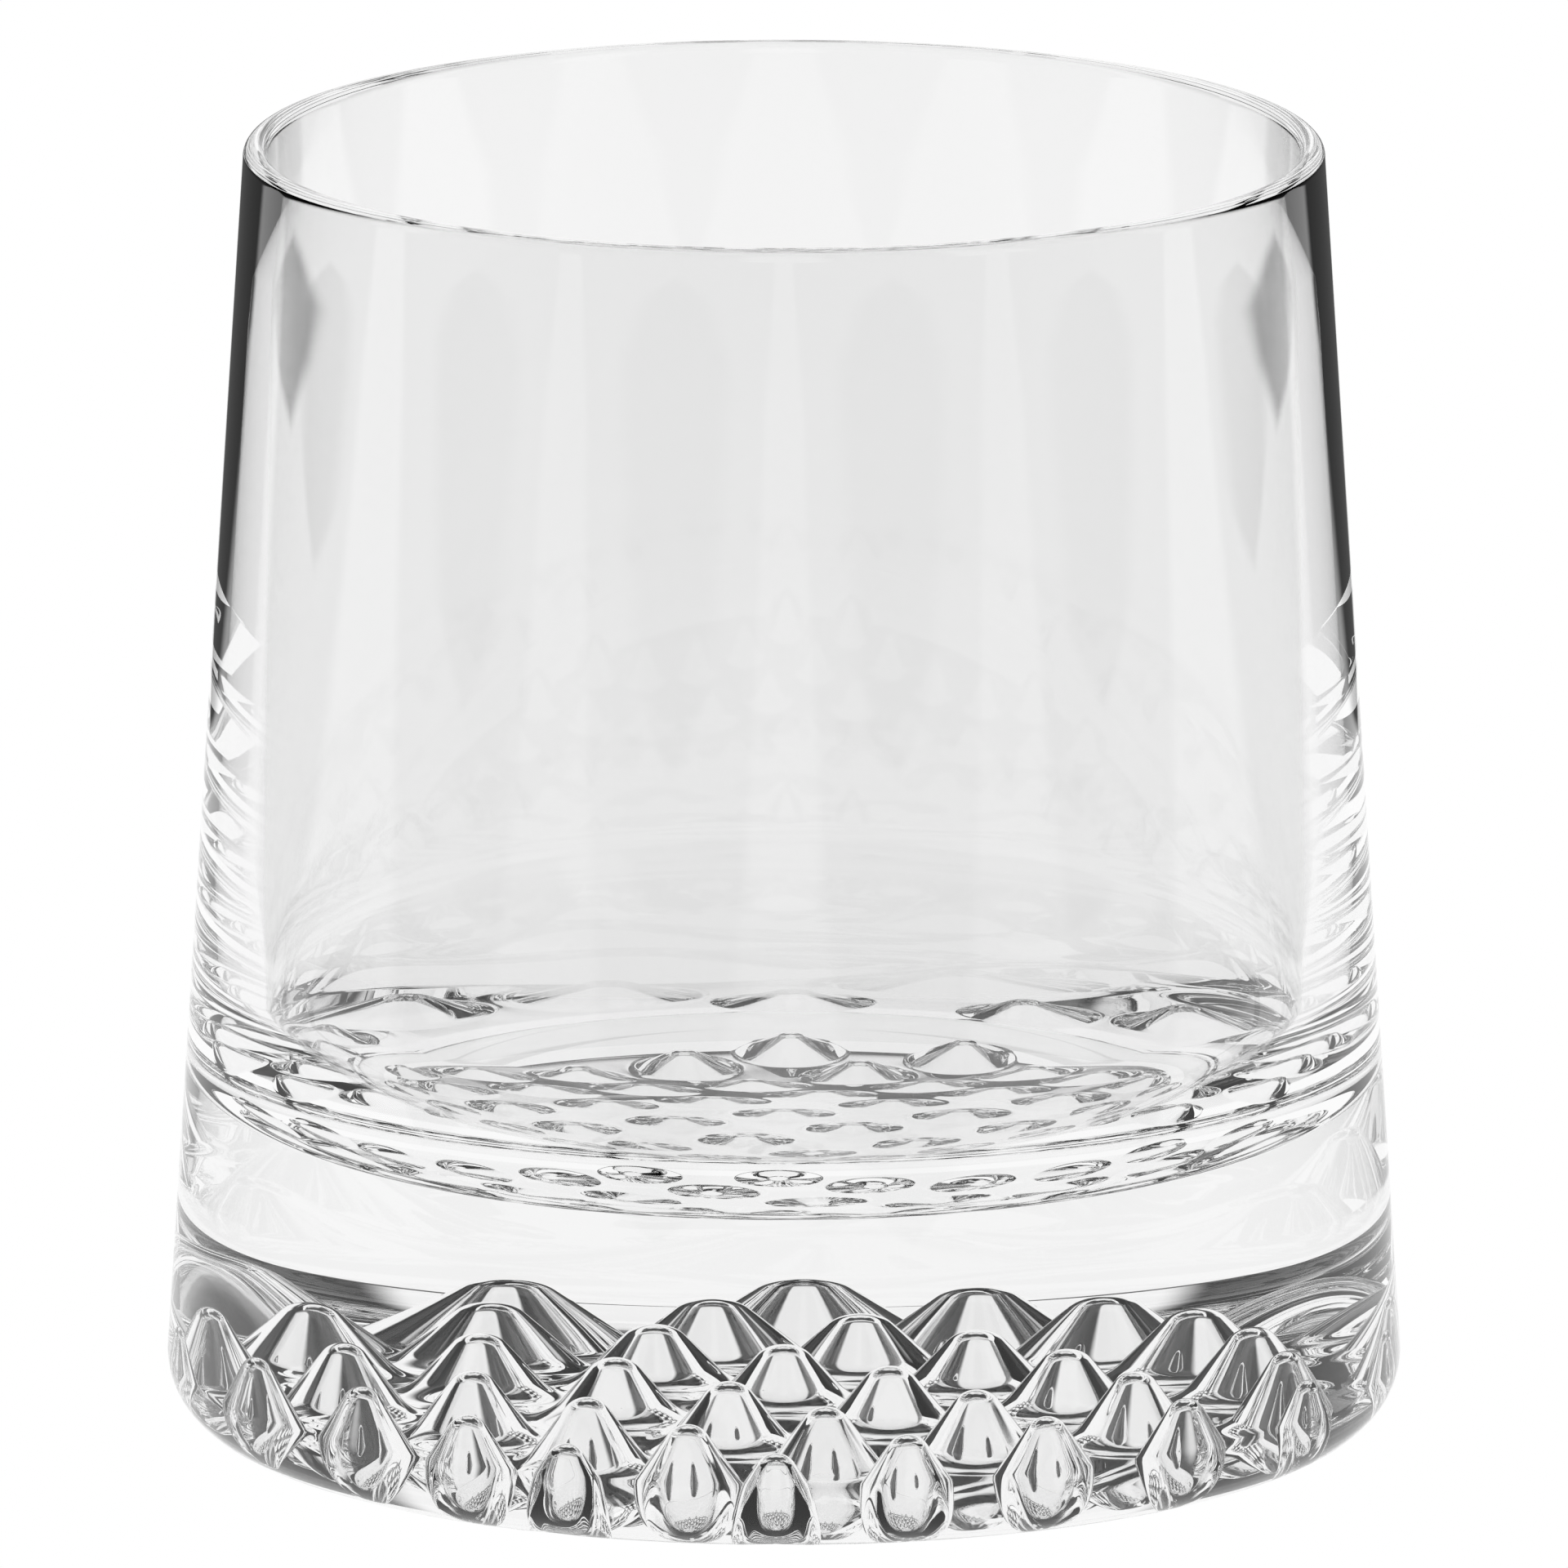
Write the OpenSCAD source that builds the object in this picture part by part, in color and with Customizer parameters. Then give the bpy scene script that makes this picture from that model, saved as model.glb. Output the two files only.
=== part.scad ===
// Whiskey tumbler: one piece of clear glass with a thick, dimpled base.
// Millimetres, +Z up, origin on the axis at the face that it stands on.
// The glass is drawn as two regions that meet face to face: the bowl and the base.

/* [Body] */
// Height from the table to the top of the lip
height = 90; // [70:1:120]
// Widest outer diameter, at the top of the rounded bottom edge
base_d = 85.5; // [70:0.5:105]
// Outer diameter of the lip
lip_d = 74.5; // [60:0.5:90]
// Radius of the rounded bottom edge
bottom_edge_r = 5; // [3:0.5:7]

/* [Bowl] */
// Thickness of the wall at the lip, which is fully rounded
lip_wall = 1.7; // [1.2:0.1:3]
// Thickness of the wall low down, level with the top of the floor's fillet
low_wall = 4.65; // [2:0.05:10]
// Thickness of the base on the axis, from the table to the floor of the bowl
floor_z = 19.5; // [15:0.5:30]
// Radius of the gentle dish of the floor
floor_dish_r = 250; // [80:10:600]
// Radius of the fillet between the floor and the wall
floor_fillet = 11.5; // [6:0.5:16]

/* [Underside] */
// Width of the flat ring that the glass stands on
ring_w = 1.2; // [0.6:0.1:3]
// Height of the domed hollow under the base, at its centre
hollow_h = 3.5; // [1:0.1:5]
// Distance between the middles of neighbouring dimples
dimple_pitch = 9.7; // [7:0.1:14]
// Height of the middle dimple's tip above the table
dimple_top = 7.5; // [4:0.1:10]
// How much lower the tips stand at the edge of the hollow
dimple_fall = 1.6; // [0:0.1:3]
// Width of the land between the feet of neighbouring dimples
dimple_land = 1.5; // [0.5:0.1:4]
// Radius of a dimple's rounded tip
dimple_tip_r = 1.4; // [0.6:0.1:3]
// Slope of a dimple's flank
dimple_slope = 58; // [40:1:75]
// Turn of the dimple rows about the axis
dimple_turn = 32.85; // [-90:0.05:90]

/* [Hidden] */

// Straight outer taper, from the top of the bottom edge to the lip
base_r = base_d / 2;
lip_r = lip_d / 2;
lip_z = height - lip_wall / 2;
taper = atan((base_r - lip_r) / (lip_z - bottom_edge_r));
edge_middle_r = base_r - bottom_edge_r / cos(taper);

// Outer radius of the taper at height z
function outer_r(z) = lip_r + (base_r - lip_r) * (lip_z - z) / (lip_z - bottom_edge_r);

// Inside of the bowl: a dished floor, a fillet tangent to it, then a straight wall to the lip
bowl_r = outer_r(floor_z + floor_fillet) - low_wall;
fillet_middle_r = bowl_r - floor_fillet;
dish_middle_z = floor_z + floor_dish_r;
fillet_z = dish_middle_z - sqrt(pow(floor_dish_r - floor_fillet, 2) - pow(fillet_middle_r, 2));
dish_angle = asin(fillet_middle_r / (floor_dish_r - floor_fillet));

// The two regions meet on a level plane part of the way up the fillet
seam_angle = -60;
seam_z = fillet_z + floor_fillet * sin(seam_angle);

// Domed hollow under the base; the furthest dimples just cut the standing ring
hollow_r = edge_middle_r - ring_w;
dome_r = (hollow_r * hollow_r + hollow_h * hollow_h) / (2 * hollow_h);
dome_z = hollow_h - dome_r;
dimple_r = (dimple_pitch - dimple_land) / 2;
dimple_reach = hollow_r - 0.9;
rows = ceil(dimple_reach / dimple_pitch);
flank_r = dimple_tip_r * sin(dimple_slope);

// How far the dimples' cutters reach below the table
below = 1;

arc_steps = 10;
tip_steps = 3;
$fn = 72;

// Points along an arc round a middle point, from one angle to another; a first step of 1
// leaves out the point that it shares with the line before it
function arc(middle, r, from, to, first = 0) = [
    for (i = [first : arc_steps])
        middle + r * [
            cos(from + (to - from) * i / arc_steps),
            sin(from + (to - from) * i / arc_steps)
        ]
];

// Middle of the dimple in column i and row j, turned about the axis
function dimple_at(i, j) = dimple_pitch * [
    i * cos(dimple_turn) - j * sin(dimple_turn),
    i * sin(dimple_turn) + j * cos(dimple_turn)
];

// The bowl: tapered wall with a rounded lip, and the upper part of the fillet
module bowl() {
    color("lightcyan", 0.5)
    rotate_extrude()
        polygon(concat(
            [[outer_r(seam_z), seam_z]],
            arc([lip_r - lip_wall / 2, lip_z], lip_wall / 2, 0, 180),
            arc([fillet_middle_r, fillet_z], floor_fillet, 0, seam_angle)
        ));
}

// Solid of the base before the underside is hollowed
module base_blank() {
    rotate_extrude()
        polygon(concat(
            [[0, 0]],
            arc([edge_middle_r, bottom_edge_r], bottom_edge_r, -90, taper),
            [[outer_r(seam_z), seam_z]],
            arc([fillet_middle_r, fillet_z], floor_fillet, seam_angle, dish_angle - 90),
            arc([0, dish_middle_z], floor_dish_r, dish_angle - 90, -90, 1)
        ));
}

// One dimple above the point p: a steep cone with a rounded tip, then straight down past the table
module dimple(p) {
    tip_z = dimple_top - dimple_fall * pow(norm(p) / hollow_r, 2);
    ball_z = tip_z - dimple_tip_r;
    flank_z = ball_z + dimple_tip_r * cos(dimple_slope);
    translate([p[0], p[1], 0])
        rotate_extrude($fn = 24)
            polygon(concat(
                [for (i = [0 : tip_steps])
                    [0, ball_z] + dimple_tip_r * [
                        sin(dimple_slope * i / tip_steps),
                        cos(dimple_slope * i / tip_steps)
                    ]],
                [
                    [dimple_r, flank_z - (dimple_r - flank_r) * tan(dimple_slope)],
                    [dimple_r, -below],
                    [0, -below]
                ]
            ));
}

// The base: thick glass with a domed, dimpled underside inside a flat standing ring
module base() {
    color("azure", 0.7)
    difference() {
        base_blank();
        translate([0, 0, dome_z]) sphere(dome_r);
        for (i = [-rows : rows], j = [-rows : rows])
            if (norm(dimple_at(i, j)) < dimple_reach) dimple(dimple_at(i, j));
    }
}

bowl();
base();
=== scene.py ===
import math

import bmesh
import bpy
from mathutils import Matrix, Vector
from mathutils.geometry import delaunay_2d_cdt


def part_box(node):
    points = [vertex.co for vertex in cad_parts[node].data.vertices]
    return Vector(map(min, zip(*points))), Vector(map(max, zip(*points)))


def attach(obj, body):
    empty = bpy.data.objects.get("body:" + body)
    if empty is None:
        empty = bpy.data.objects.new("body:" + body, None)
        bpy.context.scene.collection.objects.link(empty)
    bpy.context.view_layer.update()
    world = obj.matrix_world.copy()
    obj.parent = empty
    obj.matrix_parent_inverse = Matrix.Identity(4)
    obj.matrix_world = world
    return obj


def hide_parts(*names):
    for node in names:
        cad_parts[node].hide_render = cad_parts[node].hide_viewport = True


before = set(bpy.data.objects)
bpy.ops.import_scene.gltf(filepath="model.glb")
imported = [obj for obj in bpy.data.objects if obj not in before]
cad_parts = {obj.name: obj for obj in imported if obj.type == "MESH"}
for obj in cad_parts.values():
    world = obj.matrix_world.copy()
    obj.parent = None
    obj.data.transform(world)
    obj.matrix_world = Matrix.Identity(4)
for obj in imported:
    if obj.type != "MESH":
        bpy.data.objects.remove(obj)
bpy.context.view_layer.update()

MM = 0.001

# Overall sizes, from the frame
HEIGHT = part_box("bowl")[1].z
BASE_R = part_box("base")[1].x

# The wall and the floor of the bowl
LIP_R = 37.25 * MM           # outer radius at the lip
LIP_WALL = 1.7 * MM          # wall at the lip, which is fully rounded
EDGE_R = 5.0 * MM            # rounding of the bottom edge
WALL_R = 36.4 * MM           # inner radius low down
FLOOR_Z = 19.5 * MM          # floor of the bowl at the axis
FLOOR_CURVE = 250.0 * MM     # radius of the floor's gentle dish
FILLET_R = 11.5 * MM         # fillet between floor and wall

# The underside: a dome inside a flat standing ring, with dimples on a square grid
RING_R = 36.5 * MM           # inner edge of the standing ring
HOLLOW = 3.5 * MM            # rise of the dome
PITCH = 9.7 * MM             # dimple spacing
TURN = math.radians(32.85)   # turn of the dimple rows
DIMPLE_REACH = 35.6 * MM     # furthest middle of a dimple
DIMPLE_R = 4.82 * MM         # dimple mouth radius, flare included
DIMPLE_TOP = 7.55 * MM       # height of the middle dimple's tip
DIMPLE_FALL = 1.6 * MM       # how much lower the tips are at the standing ring
TIP_R = 1.4 * MM             # rounding of the tip
FLANK = math.radians(58)     # slope of the flank

# How finely the mesh is drawn
SEGMENTS = 512               # vertices round the axis
SPOKES = 64                  # vertices round a dimple
FLARE_STEPS = 14
FLANK_STEPS = 6
TIP_STEPS = 12
EDGE_STEPS = 18
WALL_STEPS = 8
LIP_STEPS = 16
FILLET_STEPS = 24
FLOOR_STEPS = 25
LAND_R = 40.4 * MM           # the land's mesh ends and the body's begins here, on the rounded edge
LAND_RINGS_MM = (34.0, 35.0, 36.0, 36.5, 37.1, 37.7, 38.2, 38.7, 39.2, 39.6, 40.0)
LAND_SEGMENTS = 256
LAND_CLEAR = 0.12 * MM       # extra points stay this far out of the dimples
TOUCH = 1e-7                 # points nearer than this are one point

# The camera
LENS_MM = 802.0
SENSOR_MM = 36.0
ELEVATION = math.radians(12.4)
AIM = Vector((0, 0, 44.8 * MM))
DISTANCE = 2.4134

# The glass
IOR = 1.52
TINT = 0.925

# The room, as levels of white from 0 to 1
FLOOR_HALF = 6.0             # half width of the floor, in metres
PATTERN_Z = 0.1 * MM         # the floor seen in the glass lies this far above the floor
SECTOR = math.pi / 8         # its pattern repeats eight times round, each part mirrored
STRIP = 0.06                 # half width of its bright strips
STRIP_SOFT = 0.03            # width of their soft edges
DARK_FROM = 0.213            # the dark starts beyond a slanted line, this far from the axis
DARK_SOFT = 0.004
DARK_SLANT = math.radians(35.3)
DARK_NEAR = 0.12             # level of the dark parts near the glass
DARK_FAR = 0.06              # and far from it
FAR_FROM = 0.6
FAR_TO = 1.2
FRONT_LEVEL = 0.7            # how bright the floor in front is beside the rest
FRONT_FROM = -0.06
FRONT_TO = -0.12
WORLD_DARK = 0.015
WORLD_SOFT = math.radians(3)
# Bright parts of the world in degrees: direction turned from +Y towards -X, half width; and level
LIGHTS = ((0, 30, 1.0), (90, 7, 0.8), (180, 8, 0.8), (270, 7, 0.6), (225, 8, 0.8))
TOP_LEVEL = 0.01             # level overhead
TOP_FROM = math.radians(40)  # elevation where the fade to it starts
TOP_TO = math.radians(60)    # and ends

# Light passes many faces of the dimples, so it needs many bounces
GLASS_BOUNCES = 24
GLOSSY_BOUNCES = 12


def make_camera():
    """A long lens in front, looking slightly down."""
    data = bpy.data.cameras.new("camera")
    data.lens = LENS_MM
    data.sensor_width = SENSOR_MM
    data.clip_start = 0.1
    data.clip_end = 50.0
    camera = bpy.data.objects.new("camera", data)
    bpy.context.collection.objects.link(camera)
    back = Vector((0, -math.cos(ELEVATION), math.sin(ELEVATION)))
    camera.location = AIM + back * DISTANCE
    camera.rotation_euler = (-back).to_track_quat("-Z", "Y").to_euler()
    bpy.context.scene.camera = camera


def underside_z(r):
    """Height of the underside without dimples at radius r: dome, standing ring, rounded edge."""
    edge_middle = BASE_R - EDGE_R
    if r <= RING_R:
        return HOLLOW * (1 - (r / RING_R) ** 2)
    if r <= edge_middle:
        return 0.0
    return EDGE_R - math.sqrt(max(0.0, EDGE_R ** 2 - (r - edge_middle) ** 2))


def dimple_middles():
    """Middles of the dimples: the nodes of a turned square grid that lie within reach."""
    middles = []
    n = int(DIMPLE_REACH / PITCH) + 1
    for i in range(-n, n + 1):
        for j in range(-n, n + 1):
            x = PITCH * (i * math.cos(TURN) - j * math.sin(TURN))
            y = PITCH * (i * math.sin(TURN) + j * math.cos(TURN))
            if math.hypot(x, y) < DIMPLE_REACH:
                middles.append((x, y))
    return middles


def dimple_profile(depth):
    """Steps (radius, height above the land) of a dimple: flared mouth, straight flank, round tip."""
    both_radii = (DIMPLE_R * math.tan(FLANK) - depth) / (1 / math.cos(FLANK) - 1)
    flare_r = both_radii - TIP_R
    straight = (DIMPLE_R - both_radii * math.sin(FLANK)) / math.cos(FLANK)
    steps = []
    for k in range(FLARE_STEPS + 1):
        a = FLANK * k / FLARE_STEPS
        steps.append((DIMPLE_R - flare_r * math.sin(a), flare_r * (1 - math.cos(a))))
    foot_r, foot_z = steps[-1]
    for k in range(1, FLANK_STEPS + 1):
        along = straight * k / FLANK_STEPS
        steps.append((foot_r - along * math.cos(FLANK), foot_z + along * math.sin(FLANK)))
    for k in range(1, TIP_STEPS):
        a = FLANK * (1 - k / TIP_STEPS)
        steps.append((TIP_R * math.sin(a), depth - TIP_R * (1 - math.cos(a))))
    return steps


def body_outline():
    """Points (radius, height) from the rounded edge up the outside, over the lip, to the floor."""
    points = []
    edge_middle = BASE_R - EDGE_R
    lip_z = HEIGHT - LIP_WALL / 2
    lip_middle = LIP_R - LIP_WALL / 2
    taper = math.atan((BASE_R - LIP_R) / (lip_z - EDGE_R))
    start = math.acos((LAND_R - edge_middle) / EDGE_R)
    for k in range(1, EDGE_STEPS + 1):
        a = -start + (start + taper) * k / EDGE_STEPS
        points.append((edge_middle + EDGE_R * math.cos(a), EDGE_R + EDGE_R * math.sin(a)))
    for k in range(1, WALL_STEPS + 1):
        z = EDGE_R + (lip_z - EDGE_R) * k / WALL_STEPS
        points.append((BASE_R + (LIP_R - BASE_R) * k / WALL_STEPS, z))
    for k in range(1, LIP_STEPS + 1):
        a = math.pi * k / LIP_STEPS
        points.append((lip_middle + LIP_WALL / 2 * math.cos(a), lip_z + LIP_WALL / 2 * math.sin(a)))

    inner = LIP_R - LIP_WALL
    fillet_middle = WALL_R - FILLET_R
    fillet_z = FLOOR_Z + FLOOR_CURVE - math.sqrt((FLOOR_CURVE - FILLET_R) ** 2 - fillet_middle ** 2)
    lean = math.asin(fillet_middle / (FLOOR_CURVE - FILLET_R))
    for k in range(1, WALL_STEPS + 1):
        z = lip_z + (fillet_z - lip_z) * k / WALL_STEPS
        points.append((inner + (WALL_R - inner) * k / WALL_STEPS, z))
    for k in range(1, FILLET_STEPS + 1):
        a = math.pi / 2 - (math.pi / 2 - lean) * k / FILLET_STEPS
        points.append((fillet_middle + FILLET_R * math.sin(a), fillet_z - FILLET_R * math.cos(a)))
    for k in range(1, FLOOR_STEPS):
        a = lean * (1 - k / FLOOR_STEPS)
        points.append((FLOOR_CURVE * math.sin(a), FLOOR_Z + FLOOR_CURVE * (1 - math.cos(a))))
    return points


def ring_at(bm, r, z):
    """A circle of vertices about the axis."""
    ring = []
    for k in range(SEGMENTS):
        a = 2 * math.pi * k / SEGMENTS
        ring.append(bm.verts.new((r * math.cos(a), r * math.sin(a), z)))
    return ring


def join_rings(bm, first, second):
    """Quads between two rings with the same number of vertices."""
    for k in range(len(first)):
        m = (k + 1) % len(first)
        bm.faces.new((first[k], second[k], second[m], first[m]))


def close_ring(bm, ring, point):
    """Triangles between a ring and one point."""
    for k in range(len(ring)):
        bm.faces.new((ring[k], point, ring[(k + 1) % len(ring)]))


def make_dimple(bm, middle_x, middle_y):
    """One dimple, and the ring of vertices at its mouth."""
    middle_r = math.hypot(middle_x, middle_y)
    depth = DIMPLE_TOP - DIMPLE_FALL * (middle_r / RING_R) ** 2 - underside_z(middle_r)
    rings = []
    for q, up in dimple_profile(depth):
        ring = []
        for k in range(SPOKES):
            a = 2 * math.pi * k / SPOKES + TURN
            x = middle_x + q * math.cos(a)
            y = middle_y + q * math.sin(a)
            ring.append(bm.verts.new((x, y, underside_z(math.hypot(x, y)) + up)))
        rings.append(ring)
    tip = bm.verts.new((middle_x, middle_y, underside_z(middle_r) + depth))
    for first, second in zip(rings, rings[1:]):
        join_rings(bm, first, second)
    close_ring(bm, rings[-1], tip)
    return rings[0]


def in_dimple(x, y, middles, r):
    """Whether a point lies within r of the middle of a dimple."""
    return any(math.hypot(x - mx, y - my) < r for mx, my in middles)


def make_land(bm, middles, mouths, rim):
    """The land between the dimples: triangulated from above, then lifted onto the underside."""
    owners = []
    edges = []
    for loop in mouths + [rim]:
        start = len(owners)
        for k in range(len(loop)):
            edges.append((start + k, start + (k + 1) % len(loop)))
        owners += loop
    points = [Vector((v.co.x, v.co.y)) for v in owners]
    for r in LAND_RINGS_MM:
        for k in range(LAND_SEGMENTS):
            a = 2 * math.pi * (k + 0.5) / LAND_SEGMENTS
            x = r * MM * math.cos(a)
            y = r * MM * math.sin(a)
            if not in_dimple(x, y, middles, DIMPLE_R + LAND_CLEAR):
                points.append(Vector((x, y)))

    places, _, faces, sources, _, _ = delaunay_2d_cdt(points, edges, [], 0, TOUCH)
    corners = []
    for place, source in zip(places, sources):
        known = [owners[n] for n in source if n < len(owners)]
        if known:
            corners.append(known[0])
        else:
            corners.append(bm.verts.new((place.x, place.y, underside_z(place.length))))
    inside_mouth = DIMPLE_R * math.cos(math.pi / SPOKES) - TOUCH
    for face in faces:
        middle = sum((places[n] for n in face), Vector((0, 0))) / len(face)
        if middle.length < LAND_R and not in_dimple(middle.x, middle.y, middles, inside_mouth):
            bm.faces.new([corners[n] for n in face])


def make_glass():
    """The whole glass as one closed mesh, in the place of both regions of the frame."""
    bm = bmesh.new()
    middles = dimple_middles()
    mouths = [make_dimple(bm, x, y) for x, y in middles]
    rim = ring_at(bm, LAND_R, underside_z(LAND_R))
    make_land(bm, middles, mouths, rim)
    rings = [rim] + [ring_at(bm, r, z) for r, z in body_outline()]
    for first, second in zip(rings, rings[1:]):
        join_rings(bm, second, first)
    close_ring(bm, rings[-1], bm.verts.new((0, 0, FLOOR_Z)))
    bm.normal_update()
    bmesh.ops.recalc_face_normals(bm, faces=bm.faces)

    mesh = bpy.data.meshes.new("glass")
    bm.to_mesh(mesh)
    bm.free()
    for polygon in mesh.polygons:
        polygon.use_smooth = True
    glass = bpy.data.objects.new("glass", mesh)
    bpy.context.collection.objects.link(glass)
    mesh.materials.append(glass_material())
    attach(glass, "root")
    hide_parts("bowl", "base")


def glass_material():
    """Clear glass with a very slight grey tint."""
    mat = bpy.data.materials.new("clear_glass")
    mat.use_nodes = True
    shader = mat.node_tree.nodes["Principled BSDF"]
    shader.inputs["Base Color"].default_value = (TINT, TINT, TINT, 1)
    shader.inputs["Roughness"].default_value = 0.0
    shader.inputs["IOR"].default_value = IOR
    shader.inputs["Transmission Weight"].default_value = 1.0
    return mat


def math_node(nt, operation, *values):
    """The result of a Math node whose inputs are numbers or other nodes' results."""
    node = nt.nodes.new("ShaderNodeMath")
    node.operation = operation
    for socket, value in zip(node.inputs, values):
        if isinstance(value, (int, float)):
            socket.default_value = value
        else:
            nt.links.new(value, socket)
    return node.outputs[0]


def ramp_node(nt, value, start, end):
    """A smooth rise from 0 to 1 as the value goes from start to end."""
    node = nt.nodes.new("ShaderNodeMapRange")
    node.interpolation_type = "SMOOTHSTEP"
    nt.links.new(value, node.inputs["Value"])
    node.inputs["From Min"].default_value = start
    node.inputs["From Max"].default_value = end
    return node.outputs["Result"]


def blend(nt, amount, start, end):
    """Start where the amount is 0, end where it is 1; start and end are numbers."""
    return math_node(nt, "MULTIPLY_ADD", amount, end - start, start)


def coordinates(nt, output):
    """The x, y and z of one output of a Texture Coordinate node."""
    split = nt.nodes.new("ShaderNodeSeparateXYZ")
    nt.links.new(nt.nodes.new("ShaderNodeTexCoord").outputs[output], split.inputs[0])
    return split.outputs


def make_floor(name, z):
    """A white floor that gives off its own light, with its node tree and its emission node."""
    corners = [(-FLOOR_HALF, -FLOOR_HALF, z), (FLOOR_HALF, -FLOOR_HALF, z)]
    corners += [(FLOOR_HALF, FLOOR_HALF, z), (-FLOOR_HALF, FLOOR_HALF, z)]
    mesh = bpy.data.meshes.new(name)
    mesh.from_pydata(corners, [], [(0, 1, 2, 3)])
    floor = bpy.data.objects.new(name, mesh)
    bpy.context.collection.objects.link(floor)
    mat = bpy.data.materials.new(name)
    mat.use_nodes = True
    nt = mat.node_tree
    nt.nodes.clear()
    out = nt.nodes.new("ShaderNodeOutputMaterial")
    emission = nt.nodes.new("ShaderNodeEmission")
    emission.inputs["Color"].default_value = (1, 1, 1, 1)
    emission.inputs["Strength"].default_value = 1.0
    nt.links.new(emission.outputs[0], out.inputs["Surface"])
    mesh.materials.append(mat)
    return floor, nt, emission


def make_floor_seen_in_glass():
    """A floor that only the glass sees: bright strips in eight directions, and dark between them."""
    floor, nt, emission = make_floor("floor_seen_in_glass", PATTERN_Z)
    floor.visible_camera = False
    floor.visible_shadow = False
    floor.visible_diffuse = False
    x, y, _ = coordinates(nt, "Object")
    r_squared = math_node(nt, "ADD", math_node(nt, "MULTIPLY", x, x), math_node(nt, "MULTIPLY", y, y))
    r = math_node(nt, "SQRT", r_squared)
    fold = math_node(nt, "PINGPONG", math_node(nt, "ARCTAN2", x, y), SECTOR)
    across = math_node(nt, "MULTIPLY", r, math_node(nt, "SINE", fold))
    along = math_node(nt, "MULTIPLY", r, math_node(nt, "COSINE", fold))
    across_part = math_node(nt, "MULTIPLY", across, math.cos(DARK_SLANT))
    along_part = math_node(nt, "MULTIPLY", along, math.sin(DARK_SLANT))
    slanted = math_node(nt, "ADD", across_part, along_part)

    beside = ramp_node(nt, across, STRIP, STRIP + STRIP_SOFT)
    beyond = ramp_node(nt, slanted, DARK_FROM - DARK_SOFT, DARK_FROM + DARK_SOFT)
    dark_level = blend(nt, ramp_node(nt, r, FAR_FROM, FAR_TO), DARK_NEAR, DARK_FAR)
    darkening = math_node(nt, "SUBTRACT", dark_level, 1.0)
    level = math_node(nt, "MULTIPLY_ADD", math_node(nt, "MULTIPLY", beside, beyond), darkening, 1.0)
    front = blend(nt, ramp_node(nt, y, FRONT_TO, FRONT_FROM), FRONT_LEVEL, 1.0)
    nt.links.new(math_node(nt, "MULTIPLY", level, front), emission.inputs["Strength"])


def make_world():
    """A studio that is bright behind the glass, with narrow bright strips elsewhere and a dark top."""
    world = bpy.data.worlds.new("studio")
    bpy.context.scene.world = world
    world.use_nodes = True
    nt = world.node_tree
    background = nt.nodes["Background"]
    background.inputs["Color"].default_value = (1, 1, 1, 1)
    x, y, z = coordinates(nt, "Generated")
    heading = math_node(nt, "ARCTAN2", math_node(nt, "MULTIPLY", x, -1.0), y)
    levels = []
    for turn, half, level in LIGHTS:
        # angle away from this light, folded into 0 to 180 degrees
        away = math_node(nt, "PINGPONG", math_node(nt, "SUBTRACT", heading, math.radians(turn)), math.pi)
        lit = ramp_node(nt, away, math.radians(half) + WORLD_SOFT, math.radians(half) - WORLD_SOFT)
        levels.append(blend(nt, lit, WORLD_DARK, level))
    brightest = levels[0]
    for level in levels[1:]:
        brightest = math_node(nt, "MAXIMUM", brightest, level)
    overhead = ramp_node(nt, math_node(nt, "ARCSINE", z), TOP_FROM, TOP_TO)
    change = math_node(nt, "SUBTRACT", TOP_LEVEL, brightest)
    strength = math_node(nt, "MULTIPLY_ADD", change, overhead, brightest)
    nt.links.new(strength, background.inputs["Strength"])


def set_render():
    """Plain colours, and enough bounces for the dimples."""
    scene = bpy.context.scene
    scene.view_settings.view_transform = "Standard"
    scene.cycles.max_bounces = GLASS_BOUNCES
    scene.cycles.transmission_bounces = GLASS_BOUNCES
    scene.cycles.glossy_bounces = GLOSSY_BOUNCES
    scene.cycles.use_denoising = True


make_camera()
make_glass()
make_floor("floor", 0.0)
make_floor_seen_in_glass()
make_world()
set_render()
